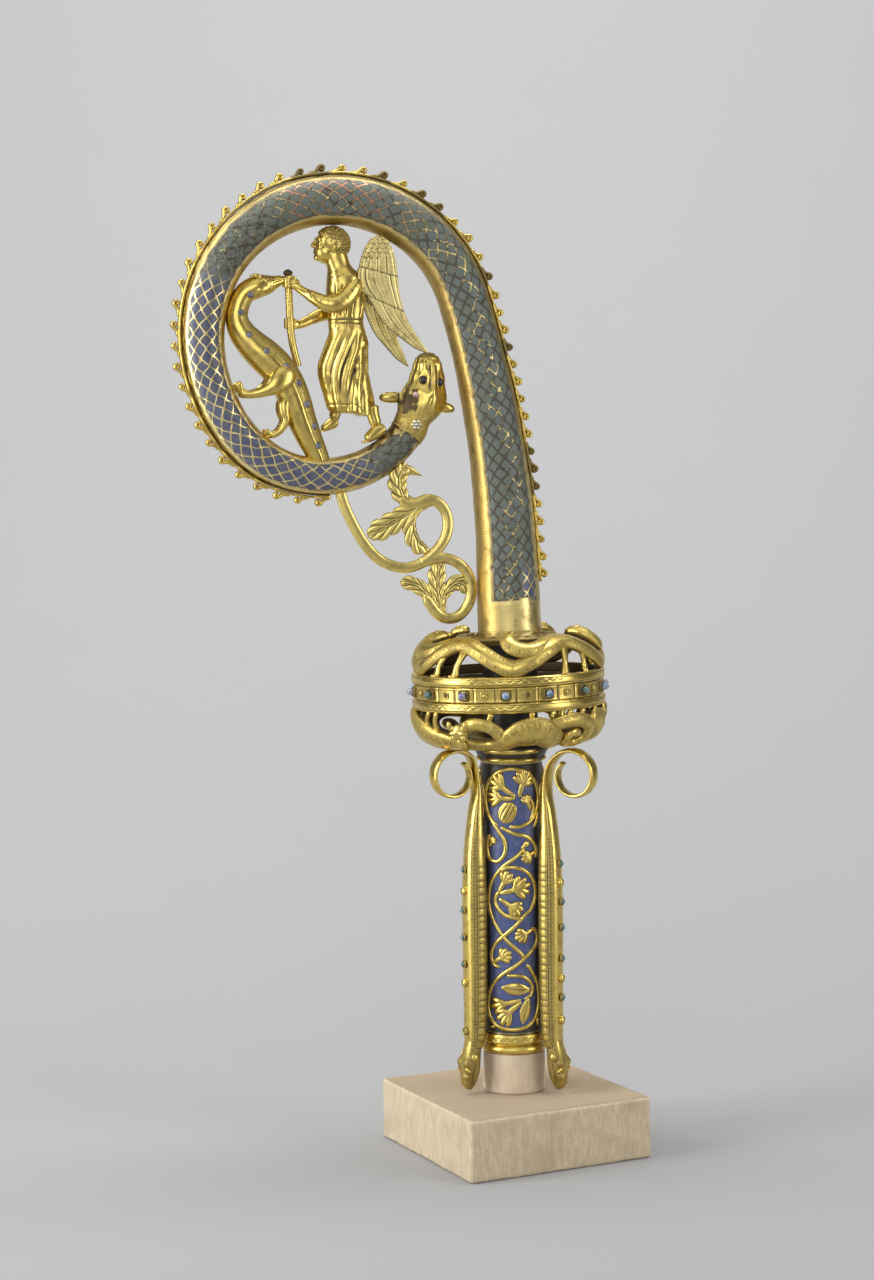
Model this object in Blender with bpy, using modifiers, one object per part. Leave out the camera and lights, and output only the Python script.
"""Gilt and enamelled copper crosier head on its display rod.

Frame: +Z up. The volute lies in the XZ plane and curls towards -X, and the side that
is meant to be seen faces -Y. The origin is the centre of the foot's underside.
Sizes are in millimetres, angles in degrees; MM turns millimetres into metres where a
mesh or a location is written.
"""

import math

import bmesh
import bpy
from mathutils import Matrix, Vector

MM = 0.001
GAP = 0.3          # clearance between pieces that touch

# Foot and rod
BLOCK_SIDE = 74.0
BLOCK_HEIGHT = 22.3
BLOCK_TURN = 13.0
BLOCK_EDGE = 1.2
ROD_RADIUS = 11.6
TENON_RADIUS = 8.9
TENON_TOP = 62.0

# Socket sleeve
SOCKET_BOTTOM = 37.4
SLEEVE_RADIUS = 11.4
SLEEVE_BORE = 9.3
PANEL_BOTTOM = 45.3
PANEL_TOP = 144.5
ROLL_RADIUS = 12.4
BAND_RADIUS = 12.1
FLARE_RADIUS = 14.2
STEM_RADIUS = 10.0
STEM_TOP = 189.9

# Knop
KNOP_CENTRE = 172.3
KNOP_TILT = 1.4
KNOP_SHIFT = -0.9  # the knop sits a little off the axis
KNOP_RING_RADIUS = 35.8
KNOP_BELT_RADIUS = 34.8
KNOP_BELT_HALF = 2.5
KNOP_RING_HEIGHT = 3.7
KNOP_PERIODS = 5
UPPER_PHASE = -102.0
LOWER_PHASE = -91.0
GEM_COUNT = 14
GEM_PHASE = -106.4
GEM_RADIUS = 1.75
GEM_HEIGHT = 3.3

# Volute: foot of the shaft, then arcs of (radius, turn) that bend it round
SHAFT_BOTTOM = 190.7
SHAFT_HEADING = 2.0
SHAFT_STRAIGHT = 30.0
VOLUTE_ARCS = ((372.0, 14.7), (48.8, 163.2), (58.2, 35.5), (39.1, 146.0))
# distance along the volute, half width in its plane, half width across it
TUBE_SIZES = (
    (0, 11.6, 11.6), (12, 11.5, 11.5), (40, 10.8, 10.8), (80, 10.0, 10.0), (110, 9.2, 9.2),
    (170, 9.0, 9.0), (200, 8.6, 8.6), (240, 7.8, 7.8), (300, 7.2, 7.2), (345, 6.5, 6.5),
    (372, 5.9, 5.9), (379, 6.6, 6.2), (384, 8.0, 6.6), (389, 7.6, 6.2), (395, 5.6, 5.0),
    (400, 4.6, 4.0), (403.5, 2.6, 2.4),
)
CREST_FROM = 20.0
CREST_TO = 340.0
CREST_COUNT = 51
CREST_WIDTH = 4.4
CREST_THICK = 1.1
CROCKET_RADIUS = 1.15

HEM_SLOPE = 0.1
FOLDS = 5

# Directions round the axis in which the three serpents stand
SERPENTS = (("serpent_left", -165.0, 24.4), ("serpent_right", -45.0, 26.2), ("serpent_back", 75.0, 25.2))

# Colour, roughness, metallic
GILT = ((0.80, 0.58, 0.17), 0.32, 1.0)
DARK_GILT = ((0.62, 0.43, 0.14), 0.42, 1.0)
ENAMEL = ((0.22, 0.27, 0.25), 0.38, 0.0)
LINEN = ((0.60, 0.50, 0.37), 0.95, 0.0)
ROD_CLOTH = ((0.64, 0.54, 0.43), 0.9, 0.0)
GLASS = ((0.20, 0.36, 0.46), 0.15, 0.0)


for leftover in list(bpy.data.objects):
    bpy.data.objects.remove(leftover)


def new_collection(name):
    """A collection in the scene."""
    collection = bpy.data.collections.new(name)
    bpy.context.scene.collection.children.link(collection)
    return collection


def finish(name, look):
    """A Principled material from (colour, roughness, metallic)."""
    colour, roughness, metallic = look
    material = bpy.data.materials.new(name + "_finish")
    material.use_nodes = True
    shader = material.node_tree.nodes["Principled BSDF"]
    shader.inputs["Base Color"].default_value = (*colour, 1.0)
    shader.inputs["Roughness"].default_value = roughness
    shader.inputs["Metallic"].default_value = metallic
    return material


def add_piece(name, mesh, look):
    """One named piece of the object, with its own finish."""
    piece = bpy.data.objects.new(name, mesh)
    PARTS.objects.link(piece)
    mesh.materials.clear()
    mesh.materials.append(finish(name, look))
    mesh.shade_smooth()
    mesh.set_sharp_from_angle(angle=math.radians(40))
    return piece


def add_tool(name, mesh):
    """A hidden body that is joined to a piece or cut out of it."""
    tool = bpy.data.objects.new(name, mesh)
    TOOLS.objects.link(tool)
    tool.hide_render = True
    tool.display_type = "WIRE"
    return tool


def boolean(piece, tool, operation, solver="EXACT"):
    """Join a tool to a piece (UNION) or cut it away (DIFFERENCE)."""
    modifier = piece.modifiers.new(operation.lower() + "_" + tool.name, "BOOLEAN")
    modifier.operation = operation
    modifier.solver = solver
    modifier.object = tool


def join(name, meshes, look, solver="EXACT"):
    """A piece made of several overlapping bodies, joined into one solid."""
    piece = add_piece(name, meshes[0], look)
    for number, mesh in enumerate(meshes[1:], 1):
        boolean(piece, add_tool(f"{name}_body_{number}", mesh), "UNION", solver)
    return piece


def mix(low, high, share):
    """The value a share of the way from low to high."""
    return low + (high - low) * share


def read_table(table, at):
    """Sizes at a distance, eased between the rows of a table."""
    for low, high in zip(table, table[1:]):
        if at <= high[0]:
            share = (at - low[0]) / (high[0] - low[0])
            share = max(0.0, share)
            share = share * share * (3 - 2 * share)
            return [mix(a, b, share) for a, b in zip(low[1:], high[1:])]
    return list(table[-1][1:])


def smooth(stations, per_span):
    """A Catmull-Rom curve through stations, of any number of values each."""
    ends = [stations[0], *stations, stations[-1]]
    rows = []
    for before, start, end, after in zip(ends, ends[1:], ends[2:], ends[3:]):
        for step in range(per_span):
            t = step / per_span
            rows.append([
                0.5 * (2 * b + (c - a) * t + (2 * a - 5 * b + 4 * c - d) * t * t
                       + (3 * b - a - 3 * c + d) * t ** 3)
                for a, b, c, d in zip(before, start, end, after)
            ])
    rows.append(list(stations[-1]))
    return rows


def arc_chain(start, heading, arcs, step):
    """Points in the XZ plane along a chain of (length, turn); turns go from +Z to -X."""
    x, z = start
    angle = math.radians(heading)
    along = 0.0
    points = [(along, x, z, angle)]
    for length, turn in arcs:
        count = max(1, round(length / step))
        for _ in range(count):
            middle = angle + math.radians(turn) / count / 2
            x -= math.sin(middle) * length / count
            z += math.cos(middle) * length / count
            angle += math.radians(turn) / count
            along += length / count
            points.append((along, x, z, angle))
    return points


def ring_of(centre, side, across, half_side, half_across, sides, squareness=2.0):
    """Points of one oval or squared section."""
    points = []
    for number in range(sides):
        angle = math.tau * (number + 0.5) / sides
        c, s = math.cos(angle), math.sin(angle)
        reach = (abs(c) ** squareness + abs(s) ** squareness) ** (-1 / squareness)
        points.append(centre + side * (c * reach * half_side) + across * (s * reach * half_across))
    return points


def skin(name, rings, closed=False):
    """A closed mesh through rings of points in millimetres; open ends are capped."""
    build = bmesh.new()
    rows = [[build.verts.new(Vector(point) * MM) for point in ring] for ring in rings]
    pairs = list(zip(rows, rows[1:]))
    if closed:
        pairs.append((rows[-1], rows[0]))
    for low, high in pairs:
        for number in range(len(low)):
            following = (number + 1) % len(low)
            build.faces.new((low[number], low[following], high[following], high[number]))
    if not closed:
        build.faces.new(list(reversed(rows[0])))
        build.faces.new(rows[-1])
    bmesh.ops.triangulate(build, faces=build.faces)
    bmesh.ops.recalc_face_normals(build, faces=build.faces)
    mesh = bpy.data.meshes.new(name)
    build.to_mesh(mesh)
    build.free()
    return mesh


def sweep(name, stations, sides=8, per_span=3, squareness=2.0, closed=False, direction=0.0):
    """A body along stations of (x, y, z, half width in plane, half width across)."""
    rows = smooth(stations, per_span) if per_span > 1 else [list(row) for row in stations]
    centres = [Vector(row[:3]) for row in rows]
    rings = []
    for number, row in enumerate(rows):
        if closed:
            before, after = centres[number - 1], centres[(number + 1) % len(rows)]
        else:
            before, after = centres[max(number - 1, 0)], centres[min(number + 1, len(rows) - 1)]
        along = (after - before).normalized()
        side = Vector((0, 1, 0)).cross(along).normalized()
        across = along.cross(side)
        rings.append(ring_of(centres[number], side, across, row[3], row[4], sides, squareness))
    mesh = skin(name, rings, closed)
    if direction:
        mesh.transform(Matrix.Rotation(math.radians(direction), 4, "Z"))
    return mesh


def turned(name, profile, steps, bore=None):
    """A mesh turned round Z from a profile of (radius, z), top to bottom on the outside."""
    outline = list(profile)
    if bore is None:
        outline = [(0.0, profile[0][1]), *outline, (0.0, profile[-1][1])]
    else:
        outline = [*outline, (bore, profile[-1][1]), (bore, profile[0][1]), profile[0]]
    wire = bpy.data.meshes.new(name)
    wire.from_pydata([(r * MM, 0, z * MM) for r, z in outline],
                     [(n, n + 1) for n in range(len(outline) - 1)], [])
    blank = bpy.data.objects.new(name, wire)
    PARTS.objects.link(blank)
    screw = blank.modifiers.new("turn", "SCREW")
    screw.steps = steps
    screw.render_steps = steps
    screw.use_merge_vertices = True
    screw.merge_threshold = 0.00001
    bpy.context.view_layer.update()
    mesh = bpy.data.meshes.new_from_object(blank.evaluated_get(bpy.context.evaluated_depsgraph_get()))
    bpy.data.objects.remove(blank)
    build = bmesh.new()
    build.from_mesh(mesh)
    bmesh.ops.remove_doubles(build, verts=build.verts, dist=0.00001)
    bmesh.ops.recalc_face_normals(build, faces=build.faces)
    build.to_mesh(mesh)
    build.free()
    return mesh


def roll(radius, low, high, points=4):
    """Profile points of a round moulding between two heights, from the top down."""
    middle, half = (low + high) / 2, (high - low) / 2
    return [
        (radius - half + half * math.sin(math.pi * n / points),
         middle + half * math.cos(math.pi * n / points))
        for n in range(points + 1)
    ]


def outline_plate(name, points, half_thick, y_middle):
    """A flat plate in the XZ plane, cut to an outline of (x, z)."""
    curve = bpy.data.curves.new(name, "CURVE")
    curve.dimensions = "2D"
    curve.fill_mode = "BOTH"
    curve.extrude = half_thick * MM
    spline = curve.splines.new("POLY")
    spline.points.add(len(points) - 1)
    for point, (x, z) in zip(spline.points, points):
        point.co = (x * MM, z * MM, 0, 1)
    spline.use_cyclic_u = True
    blank = bpy.data.objects.new(name, curve)
    PARTS.objects.link(blank)
    bpy.context.view_layer.update()
    mesh = bpy.data.meshes.new_from_object(blank.evaluated_get(bpy.context.evaluated_depsgraph_get()))
    bpy.data.objects.remove(blank)
    mesh.transform(Matrix.Translation((0, y_middle * MM, 0)) @ Matrix.Rotation(math.radians(90), 4, "X"))
    build = bmesh.new()
    build.from_mesh(mesh)
    bmesh.ops.remove_doubles(build, verts=build.verts, dist=0.00001)
    bmesh.ops.recalc_face_normals(build, faces=build.faces)
    build.to_mesh(mesh)
    build.free()
    return mesh


# ---------------------------------------------------------------- foot, rod, socket

def display_block():
    """The square foot under the rod."""
    bpy.ops.mesh.primitive_cube_add(size=1.0)
    block = bpy.context.active_object
    mesh = block.data
    mesh.transform(Matrix.Diagonal((BLOCK_SIDE * MM, BLOCK_SIDE * MM, BLOCK_HEIGHT * MM, 1)))
    bpy.data.objects.remove(block)
    block = add_piece("display_block", mesh, LINEN)
    block.location.z = BLOCK_HEIGHT / 2 * MM
    block.rotation_euler.z = math.radians(BLOCK_TURN)
    rounding = block.modifiers.new("rounded_edges", "BEVEL")
    rounding.width = BLOCK_EDGE * MM
    rounding.segments = 2


def display_dowel():
    """The rod: a thick stub that shows, and a thinner tenon inside the socket."""
    shoulder = SOCKET_BOTTOM - GAP
    profile = [(TENON_RADIUS - 1, TENON_TOP), (TENON_RADIUS, TENON_TOP - 1), (TENON_RADIUS, shoulder),
               (ROD_RADIUS, shoulder), (ROD_RADIUS, BLOCK_HEIGHT + GAP)]
    add_piece("display_dowel", turned("display_dowel", profile, 16), ROD_CLOTH)


def socket_sleeve():
    """The tubular socket with its mouldings, and the stem that goes up through the knop."""
    profile = [(STEM_RADIUS, STEM_TOP), (STEM_RADIUS, 151.4)]
    profile += [(FLARE_RADIUS, 150.9), (FLARE_RADIUS, 150.1), (12.7, 147.4), (11.8, 145.6)]
    profile += [(SLEEVE_RADIUS, PANEL_TOP), (SLEEVE_RADIUS, PANEL_BOTTOM), (BAND_RADIUS, 44.2)]
    profile += [(BAND_RADIUS, 41.2), (SLEEVE_RADIUS, 40.8)]
    profile += roll(ROLL_RADIUS, SOCKET_BOTTOM, 40.4, 3)
    mesh = turned("socket_sleeve", profile, 16, bore=SLEEVE_BORE)
    add_piece("socket_sleeve", mesh, DARK_GILT)


def serpents():
    """Three serpents, heads down, each with a flat tail curled outwards."""
    for name, direction, loop_centre in SERPENTS:
        body = [
            (19.4, 0, 24.3, 1.6, 2.2), (19.2, 0, 26.4, 2.5, 3.3), (18.9, 0, 30.6, 3.5, 4.4),
            (18.5, 0, 35.0, 3.6, 4.5), (17.6, 0, 40.0, 3.1, 4.2), (16.5, 0, 46.0, 3.8, 4.5),
            (16.2, 0, 70.0, 4.2, 4.9), (16.2, 0, 95.0, 4.3, 4.9), (16.0, 0, 112.0, 3.8, 4.4),
            (15.5, 0, 126.0, 2.6, 3.6), (15.1, 0, 134.0, 1.5, 3.2),
        ]
        centre = (loop_centre, 140.8)
        for step in range(12):
            turn = math.radians(170 - 36 * step)
            reach = mix(9.9, 6.2, step / 11)
            wide = loop_centre - 15.9 if step == 0 else reach
            body.append((centre[0] + wide * math.cos(turn), 0, centre[1] + reach * math.sin(turn),
                         mix(1.0, 0.8, step / 11), mix(3.2, 2.0, step / 11)))
        add_piece(name, sweep(name, body, sides=8, per_span=1, squareness=2.6, direction=direction), GILT)


# ---------------------------------------------------------------- knop

def knop_belt(hub):
    """The belt and its cabochons."""
    low, high = KNOP_CENTRE - KNOP_BELT_HALF, KNOP_CENTRE + KNOP_BELT_HALF
    profile = [(KNOP_BELT_RADIUS, high), (KNOP_BELT_RADIUS, low)]
    belt = add_piece("knop_band", turned("knop_band", profile, 24, bore=KNOP_BELT_RADIUS - 2.4), GILT)
    to_knop(belt, hub)
    for number in range(GEM_COUNT):
        build = bmesh.new()
        bmesh.ops.create_cone(build, cap_ends=True, segments=5, radius1=GEM_RADIUS * MM,
                              radius2=GEM_RADIUS * 0.62 * MM, depth=GEM_HEIGHT * MM)
        mesh = bpy.data.meshes.new(f"knop_gem_{number + 1:02d}")
        build.to_mesh(mesh)
        build.free()
        reach = KNOP_BELT_RADIUS + GAP + GEM_HEIGHT / 2
        place = (Matrix.Rotation(math.radians(GEM_PHASE + 360 / GEM_COUNT * number), 4, "Z")
                 @ Matrix.Translation((reach * MM, 0, KNOP_CENTRE * MM))
                 @ Matrix.Rotation(math.radians(90), 4, "Y"))
        mesh.transform(place)
        to_knop(add_piece(mesh.name, mesh, GLASS), hub)


def to_knop(piece, hub):
    """Hang a piece on the tilted hub of the knop, keeping its place round the axis."""
    piece.parent = hub
    piece.location.z = -KNOP_CENTRE * MM


def winding(name, table, phase, sides):
    """A beast's body that winds round the knop; table rows are (r, z, half wide, half deep)."""
    rows = []
    per_period = len(table)
    for period in range(KNOP_PERIODS):
        for step, (radius, z, wide, deep) in enumerate(table):
            turn = math.radians(phase + 360 / KNOP_PERIODS * (period + step / per_period))
            rows.append((Vector((math.cos(turn), math.sin(turn), 0)), radius, z, wide, deep))
    rings = []
    for number, (out, radius, z, wide, deep) in enumerate(rows):
        before, after = rows[number - 1], rows[(number + 1) % len(rows)]
        here = out * radius + Vector((0, 0, z))
        along = (after[0] * after[1] + Vector((0, 0, after[2]))
                 - before[0] * before[1] - Vector((0, 0, before[2]))).normalized()
        face = (out + Vector((0, 0, (z - KNOP_CENTRE) / 22))).normalized()
        side = face.cross(along).normalized()
        rings.append(ring_of(here, side, along.cross(side), wide, deep, sides))
    return skin(name, rings, closed=True)


def dome_limb(name, rows, sides=6):
    """A limb on the knop through rows of (angle, r, z, half width)."""
    stations = []
    for angle, radius, z, half in rows:
        turn = math.radians(angle)
        stations.append((radius * math.cos(turn), radius * math.sin(turn), z, half))
    centres = [Vector(row[:3]) for row in stations]
    rings = []
    for number, row in enumerate(stations):
        along = centres[min(number + 1, len(rows) - 1)] - centres[max(number - 1, 0)]
        out = Vector((centres[number].x, centres[number].y, 0)).normalized()
        side = out.cross(along).normalized()
        rings.append(ring_of(centres[number], side, along.normalized().cross(side), row[3], row[3], sides))
    return skin(name, rings)


def knop_upper(hub):
    """The upper cap: a ring, a rim and five dragons that walk on the ring."""
    low = KNOP_CENTRE + KNOP_BELT_HALF + GAP
    high = low + KNOP_RING_HEIGHT
    ring = [(KNOP_RING_RADIUS - 0.6, high), (KNOP_RING_RADIUS, low)]
    rim = [(17.6, 192.2), (19.6, 190.8), (17.8, 188.8)]
    bodies = [turned("ring", ring, 20, bore=KNOP_RING_RADIUS - 3.2), turned("rim", rim, 12, bore=14.4)]
    table = [(33.0, 180.6, 2.6, 1.5), (32.2, 184.0, 3.0, 1.8), (27.4, 189.4, 3.2, 1.9),
             (20.0, 191.4, 3.0, 1.9), (20.4, 191.2, 3.0, 1.9), (27.8, 189.2, 3.2, 1.9),
             (32.4, 183.8, 3.0, 1.8)]
    bodies.append(winding("winding", table, UPPER_PHASE, 5))
    for period in range(KNOP_PERIODS):
        start = UPPER_PHASE + 360 / KNOP_PERIODS * period
        for near, far in ((26, 22), (40, 36)):
            bodies.append(dome_limb("leg", [(start + near, 27.0, 190.0, 1.2), (start + far, 33.2, 184.0, 0.8),
                                            (start + far, 34.0, 177.5, 1.1)], 3))
        bodies.append(dome_limb("head", [(start - 12, 33.0, 180.2, 1.8), (start - 4, 31.6, 186.0, 2.5),
                                         (start - 1, 26.6, 190.6, 1.6)], 4))
    to_knop(join("knop_upper", bodies, GILT), hub)


def knop_lower(hub):
    """The lower cap: a ring, a foot rim and five beasts that loop between them."""
    high = KNOP_CENTRE - KNOP_BELT_HALF - GAP
    low = high - KNOP_RING_HEIGHT
    ring = [(KNOP_RING_RADIUS, high), (KNOP_RING_RADIUS - 0.6, low)]
    rim = [(17.0, 155.0), (18.6, 153.4), (16.0, 151.8)]
    bodies = [turned("ring", ring, 20, bore=KNOP_RING_RADIUS - 3.2), turned("rim", rim, 12, bore=12.6)]
    table = [(33.4, 163.4, 3.0, 1.6), (33.0, 160.4, 3.4, 1.8), (30.2, 156.2, 3.8, 2.0),
             (24.0, 153.8, 3.8, 2.0), (19.0, 153.6, 3.2, 1.8), (22.0, 153.8, 3.4, 1.9),
             (28.6, 155.2, 3.6, 2.0), (32.4, 159.4, 3.4, 1.8)]
    bodies.append(winding("winding", table, LOWER_PHASE, 5))
    for period in range(KNOP_PERIODS):
        start = LOWER_PHASE + 360 / KNOP_PERIODS * period
        bodies.append(dome_limb("leg", [(start + 22, 30.0, 157.4, 1.4), (start + 24, 33.4, 161.6, 1.1),
                                        (start + 25, 34.0, 167.0, 1.2)], 3))
        bodies.append(dome_limb("curl", [(start + 46, 30.0, 156.4, 1.6), (start + 48, 33.4, 160.6, 1.8),
                                         (start + 44, 33.8, 167.0, 1.6)], 3))
    to_knop(join("knop_lower", bodies, GILT), hub)


# ---------------------------------------------------------------- volute

def volute_path(step):
    """Points (along, x, z, heading) down the middle of shaft and spiral."""
    arcs = [(SHAFT_STRAIGHT, 0.0)]
    arcs += [(radius * math.radians(turn), turn) for radius, turn in VOLUTE_ARCS]
    return arc_chain((0.0, SHAFT_BOTTOM), SHAFT_HEADING, arcs, step)


def tube_mesh(name, swell, sides, step):
    """Shaft and spiral as one oval tube, made larger all round by swell."""
    rings = []
    last = TUBE_SIZES[-1][0]
    path = [row for row in volute_path(step) if row[0] <= last]
    for along, x, z, angle in path:
        half, across = read_table(TUBE_SIZES, along)
        side = Vector((math.cos(angle), 0, math.sin(angle)))
        rings.append(ring_of(Vector((x, 0, z)), side, Vector((0, 1, 0)), half + swell, across + swell, sides))
    return skin(name, rings)


def volute():
    """Shaft, spiral and the serpent's head with its two ear pegs."""
    bodies = [tube_mesh("volute", 0.0, 11, 9.6)]
    for x_root, z_root, x_tip, z_tip in ((-36.5, 279.0, -48.2, 278.8), (-29.0, 277.0, -21.4, 274.4)):
        bodies.append(sweep("ear", [(x_root, 0, z_root, 2.2, 2.2), (mix(x_root, x_tip, 0.75), 0,
                            mix(z_root, z_tip, 0.75), 2.1, 2.1), (x_tip, 0, z_tip, 1.1, 1.1)], 6, 1))
    bodies.append(sweep("brow", [(-28.6, -4.2, 280.6, 4.4, 2.4), (-28.4, -4.6, 284.0, 4.8, 2.6),
                                 (-28.8, -3.6, 289.5, 2.6, 2.0)], 6, 1))
    join("volute", bodies, ENAMEL)


def crest():
    """The strip with curled crockets along the outside of shaft and spiral."""
    def outside(along, lift):
        """The point that stands lift above the tube's outer side."""
        for low, high in zip(path, path[1:]):
            if along <= high[0]:
                share = (along - low[0]) / (high[0] - low[0])
                x, z, angle = (mix(low[n], high[n], share) for n in (1, 2, 3))
                half = read_table(TUBE_SIZES, along)[0]
                reach = half + lift
                return x + math.cos(angle) * reach, z + math.sin(angle) * reach
        raise ValueError("beyond the end of the volute")

    path = volute_path(2.0)
    pitch = (CREST_TO - CREST_FROM) / CREST_COUNT
    top = GAP + CREST_THICK
    upper, lower = [], []
    for number in range(CREST_COUNT):
        start = CREST_FROM + pitch * number
        middle = start + pitch / 2
        lower.append(outside(start, GAP))
        if number == 0:
            upper.append(outside(start, top))
        for share, lift in ((-1.0, 0.0), (0.0, 1.6), (1.0, 0.0)):
            upper.append(outside(middle + share * CROCKET_RADIUS, top + lift * CROCKET_RADIUS))
    lower.append(outside(CREST_TO, GAP))
    upper.append(outside(CREST_TO, top))
    mesh = outline_plate("crest", upper + lower[::-1], CREST_WIDTH / 2, 0.0)
    add_piece("crest", mesh, GILT)


def foliage_scroll():
    """The flat scrolling stem with leaves between the volute and the shaft."""
    wide, thick = 1.75, 1.5
    first = [(-62.5, 0, 246.0), (-60.6, 0, 238.0), (-57.0, 0, 229.6), (-51.5, 0, 223.8), (-45.0, 0, 220.2),
             (-37.4, 0, 218.6), (-30.4, 0, 220.8), (-25.2, 0, 226.0), (-24.0, 0, 233.0), (-26.6, 0, 239.4),
             (-32.0, 0, 242.6), (-38.0, 0, 244.6)]
    second = [(-33.6, 0, 220.0), (-27.0, 0, 221.2), (-20.4, 0, 219.2), (-15.0, 0, 213.8), (-13.6, 0, 207.4),
              (-16.4, 0, 201.4), (-22.6, 0, 198.8), (-28.8, 0, 201.0), (-31.6, 0, 206.0), (-36.0, 0, 209.4),
              (-41.8, 0, 211.0)]
    bodies = []
    for name, path in (("stem", first), ("stem_low", second)):
        rows = [(*point, wide if number < len(path) - 1 else 0.8, thick) for number, point in enumerate(path)]
        bodies.append(sweep(name, rows, sides=4, per_span=2, squareness=8.0))
    # each leaf: its middle line from root to tip, and its greatest half width
    leaves = (
        (((-55.4, 226.4), (-50.6, 229.6), (-44.6, 235.6), (-39.4, 238.4)), 2.7),
        (((-50.0, 223.0), (-43.6, 226.0), (-40.4, 231.0), (-39.0, 237.0)), 2.3),
        (((-34.4, 219.6), (-35.4, 226.0), (-36.6, 232.0), (-34.6, 237.0)), 2.4),
        (((-30.0, 242.0), (-32.6, 244.6), (-33.6, 247.4), (-33.6, 250.4)), 2.6),
        (((-22.0, 199.4), (-24.8, 205.6), (-27.4, 212.4), (-28.4, 219.0)), 2.4),
        (((-14.2, 206.4), (-17.4, 208.0), (-20.0, 209.4), (-21.4, 213.0)), 1.9),
        (((-31.0, 220.6), (-33.4, 218.0), (-34.0, 215.6), (-31.4, 213.6)), 1.6),
    )
    for number, (path, widest) in enumerate(leaves):
        swell = (0.75, 1.0, 0.8, 0.2)
        rows = [(x, 0, z, widest * share, thick * (0.7 + 0.03 * number)) for (x, z), share in zip(path, swell)]
        bodies.append(sweep(f"leaf_{number}", rows, sides=4, per_span=1, squareness=4.0))
    scroll = join("foliage_scroll", bodies, GILT, "MANIFOLD")
    boolean(scroll, TOOLS.objects["volute_room"], "DIFFERENCE", "MANIFOLD")


# ---------------------------------------------------------------- figures

def dragon_spine(swell):
    """Stations down the dragon from snout to rump, made larger all round by swell."""
    spine = [
        (-82.9, 0, 320.8, 1.4, 1.5), (-84.2, 0, 320.3, 2.2, 2.2), (-87.4, 0, 319.2, 3.3, 3.3),
        (-92.0, 0, 318.2, 4.0, 3.9), (-96.6, 0, 316.0, 3.9, 3.8), (-99.0, 0, 311.6, 3.8, 3.8),
        (-99.7, 0, 306.6, 4.1, 4.0), (-97.8, 0, 301.8, 4.8, 4.6), (-94.0, 0, 297.4, 5.6, 5.2),
        (-89.6, 0, 293.4, 6.2, 5.6), (-85.2, 0, 289.0, 6.2, 5.6), (-81.6, 0, 283.6, 6.0, 5.4),
        (-79.0, 0, 277.4, 5.7, 5.1), (-76.8, 0, 271.0, 5.2, 4.7), (-74.4, 0, 265.0, 4.7, 4.2),
        (-72.0, 0, 259.8, 4.1, 3.8), (-69.4, 0, 253.0, 3.6, 3.4),
    ]
    return [(x, y, z, half + swell, deep + swell) for x, y, z, half, deep in spine]


def dragon():
    """The dragon that rises from the volute, with its head thrown back to the lance."""
    bodies = [sweep("dragon", dragon_spine(0.0), sides=9, per_span=1)]
    fore = [(-87.0, -3.6, 286.6, 3.6, 2.6), (-91.6, -5.0, 284.4, 2.6, 2.2), (-96.6, -4.2, 280.6, 1.3, 1.2),
            (-99.6, -3.4, 281.2, 1.7, 1.4), (-101.4, -3.0, 283.4, 1.2, 1.0)]
    hind = [(-83.0, -2.8, 277.0, 2.8, 2.4), (-83.6, -4.4, 272.6, 1.7, 1.5), (-86.6, -3.6, 266.4, 1.2, 1.2),
            (-89.6, -3.0, 264.2, 1.7, 1.4), (-91.4, -3.0, 265.2, 1.0, 1.0)]
    for side in (1, -1):
        for name, limb in (("fore", fore), ("hind", hind)):
            rows = [(x, y * side, z, half, deep) for x, y, z, half, deep in limb]
            bodies.append(sweep(name, rows, sides=5, per_span=1))
    beast = join("dragon", bodies, GILT)
    boolean(beast, TOOLS.objects["volute_room"], "DIFFERENCE")
    boolean(beast, TOOLS.objects["lance_room"], "DIFFERENCE")


def robe(name, swell):
    """The gown with its belt and long folds, from hem to neck, made larger by swell."""
    # height, centre x, half front to back, half across, depth of the folds
    sizes = (
        (273.6, -59.2, 9.0, 6.0, 0.9), (278.0, -59.8, 9.4, 6.2, 0.9), (284.0, -61.2, 9.6, 6.2, 0.7),
        (290.5, -62.2, 9.0, 6.0, 0.5), (297.0, -60.8, 8.0, 5.6, 0.3), (303.0, -60.4, 6.9, 5.0, 0.2),
        (305.6, -60.8, 6.3, 4.6, 0.0), (307.0, -60.8, 6.3, 4.6, 0.0), (312.0, -60.4, 6.6, 5.2, 0.0),
        (317.0, -59.6, 6.2, 6.0, 0.0), (320.2, -58.8, 4.6, 5.0, 0.0), (322.0, -58.9, 2.6, 2.8, 0.0),
        (326.5, -61.2, 2.5, 2.6, 0.0), (330.0, -63.0, 2.6, 2.6, 0.0),
    )
    sides = 12
    rings = []
    for z, middle, front, across, fold in sizes:
        ring = []
        for number in range(sides):
            turn = math.tau * number / sides
            reach = 1.0 + fold / 9.0 * math.cos(turn * FOLDS)
            ring.append(Vector((middle + math.cos(turn) * (front * reach + swell),
                                math.sin(turn) * (across * reach + swell),
                                z - HEM_SLOPE * math.cos(turn) * max(0.0, 284.0 - z))))
        rings.append(ring)
    return skin(name, rings)


def egg(name, centre, half, tilt, sides):
    """An egg-shaped body for a head or a fist."""
    build = bmesh.new()
    bmesh.ops.create_uvsphere(build, u_segments=sides, v_segments=sides - 3, radius=MM)
    mesh = bpy.data.meshes.new(name)
    build.to_mesh(mesh)
    build.free()
    mesh.transform(Matrix.Translation(Vector(centre) * MM) @ Matrix.Rotation(math.radians(tilt), 4, "Y")
                   @ Matrix.Diagonal((*half, 1)))
    return mesh


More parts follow.
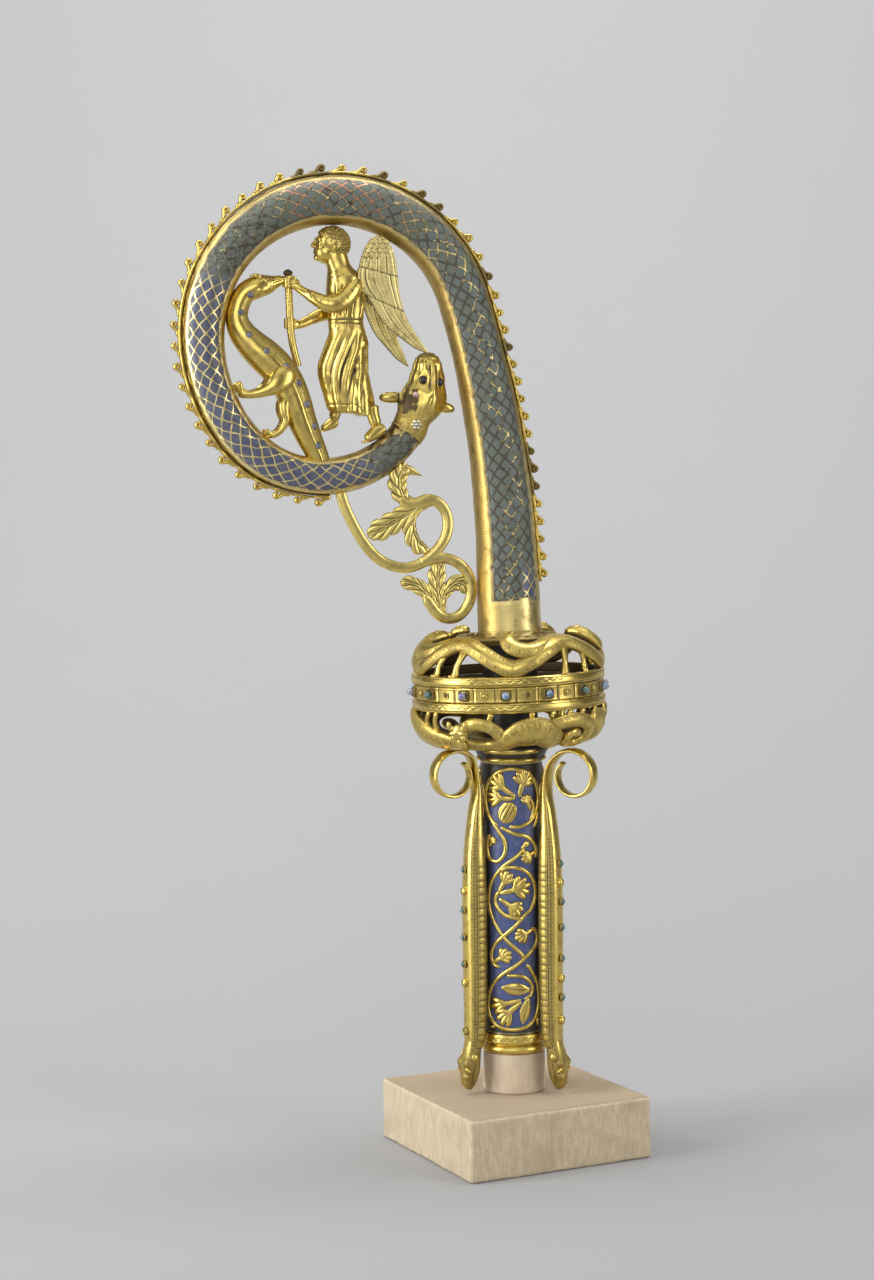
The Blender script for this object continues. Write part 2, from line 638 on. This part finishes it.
def angel():
    """The figure: gown, head, two arms with closed hands, and two bare feet."""
    bodies = [robe("angel", 0.0)]
    bodies.append(egg("head", (-65.0, 0, 333.2), (6.1, 5.0, 6.6), 8, 9))
    bodies.append(sweep("nose", [(-69.6, 0, 334.6, 0.7, 0.8), (-71.3, 0, 332.4, 0.9, 1.0),
                                 (-69.6, 0, 330.6, 0.7, 0.8)], 6, 1))
    near = [(-57.6, -4.6, 318.4, 2.6, 2.2), (-60.4, -6.2, 314.4, 2.8, 2.3), (-65.4, -6.2, 311.4, 2.5, 2.1),
            (-70.4, -4.6, 313.0, 1.8, 1.7), (-75.6, -2.6, 317.0, 1.4, 1.4), (-79.4, -0.6, 319.2, 1.4, 1.5)]
    far = [(-59.6, 4.6, 316.6, 2.5, 2.2), (-63.0, 6.0, 311.6, 2.5, 2.1), (-67.4, 5.4, 308.2, 2.1, 1.9),
           (-72.6, 3.6, 306.2, 1.6, 1.6), (-76.6, 2.0, 304.9, 1.4, 1.4), (-79.4, 0.6, 305.0, 1.4, 1.5)]
    bodies += [sweep("arm_near", near, 6, 1), sweep("arm_far", far, 6, 1)]
    for height in (319.6, 305.0):
        bodies.append(egg("fist", (-80.4, 0, height), (2.9, 2.8, 2.0), 0, 6))
    left = [(-66.4, -2.4, 277.0, 1.7, 1.7), (-66.6, -2.4, 272.6, 1.5, 1.6), (-68.0, -2.6, 270.0, 1.5, 1.6),
            (-70.4, -2.8, 267.6, 0.9, 1.5)]
    right = [(-52.6, -2.0, 276.0, 1.8, 1.7), (-51.6, -2.0, 270.4, 1.5, 1.5), (-50.6, -2.0, 267.2, 1.8, 1.7),
             (-53.4, -2.2, 264.6, 1.4, 1.7), (-55.6, -2.4, 263.0, 0.9, 1.4)]
    bodies += [sweep("foot_left", left, 6, 1), sweep("foot_right", right, 6, 1)]
    figure = join("angel", bodies, GILT)
    for room in ("volute_room", "dragon_room", "lance_room"):
        boolean(figure, TOOLS.objects[room], "DIFFERENCE")


def wings():
    """Two flat engraved wings, one on each side of the back."""
    outline = [(-55.4, 317.6), (-54.6, 323.0), (-53.2, 329.6), (-51.0, 334.8), (-47.6, 336.6), (-44.2, 334.8),
               (-41.6, 329.6), (-40.4, 322.0), (-39.4, 313.6), (-37.0, 306.0), (-33.8, 299.6),
               (-30.6, 294.6), (-36.4, 296.8), (-42.0, 299.8), (-46.6, 305.4), (-50.0, 312.4)]
    for name, side, turn in (("wing_near", -1, 0.0), ("wing_far", 1, 12.5)):
        middle = side * 4.4
        plate = outline_plate(name, outline, 0.65, middle)
        lift = outline_plate("covert", outline[:10] + outline[13:], 0.95, middle)
        pivot = Matrix.Translation((-53.0 * MM, 0, 318.0 * MM))
        swing = pivot @ Matrix.Rotation(math.radians(turn), 4, "Y") @ pivot.inverted()
        plate.transform(swing)
        lift.transform(swing @ Matrix.Translation((-0.3 * MM, 0, 0.3 * MM)))
        wing = join(name, [plate, lift], GILT)
        boolean(wing, TOOLS.objects["robe_room"], "DIFFERENCE")


def lance():
    """The short rod that the figure drives into the dragon."""
    rows = [(-81.0, 0, 324.2, 0.8, 0.8), (-81.0, 0, 323.0, 1.7, 1.7), (-80.9, 0, 321.9, 1.2, 1.2),
            (-80.7, 0, 313.0, 1.4, 1.4), (-80.2, 0, 303.0, 1.4, 1.4), (-79.2, 0, 296.6, 1.4, 1.4),
            (-77.6, 0, 290.0, 1.2, 1.2)]
    add_piece("lance", sweep("lance", rows, sides=8, per_span=1), GILT)
    add_tool("lance_room", sweep("lance_room", [(*row[:3], row[3] + GAP, row[4] + GAP) for row in rows], 8, 1))


def rooms():
    """Bodies a little larger than a piece, cut from its neighbours to keep them clear."""
    room = GAP + 0.1
    add_tool("volute_room", tube_mesh("volute_room", room, 20, 4.2))
    add_tool("dragon_room", sweep("dragon_room", dragon_spine(room), sides=9, per_span=1))
    add_tool("robe_room", robe("robe_room", room))


PARTS = new_collection("crosier_head")
TOOLS = new_collection("cutters")

rooms()
lance()
display_block()
display_dowel()
socket_sleeve()
serpents()
knop_hub = bpy.data.objects.new("knop_hub", None)
PARTS.objects.link(knop_hub)
knop_hub.location = (KNOP_SHIFT * MM, 0, KNOP_CENTRE * MM)
knop_hub.rotation_euler.y = -math.radians(KNOP_TILT)
knop_belt(knop_hub)
knop_upper(knop_hub)
knop_lower(knop_hub)
volute()
crest()
foliage_scroll()
dragon()
angel()
wings()
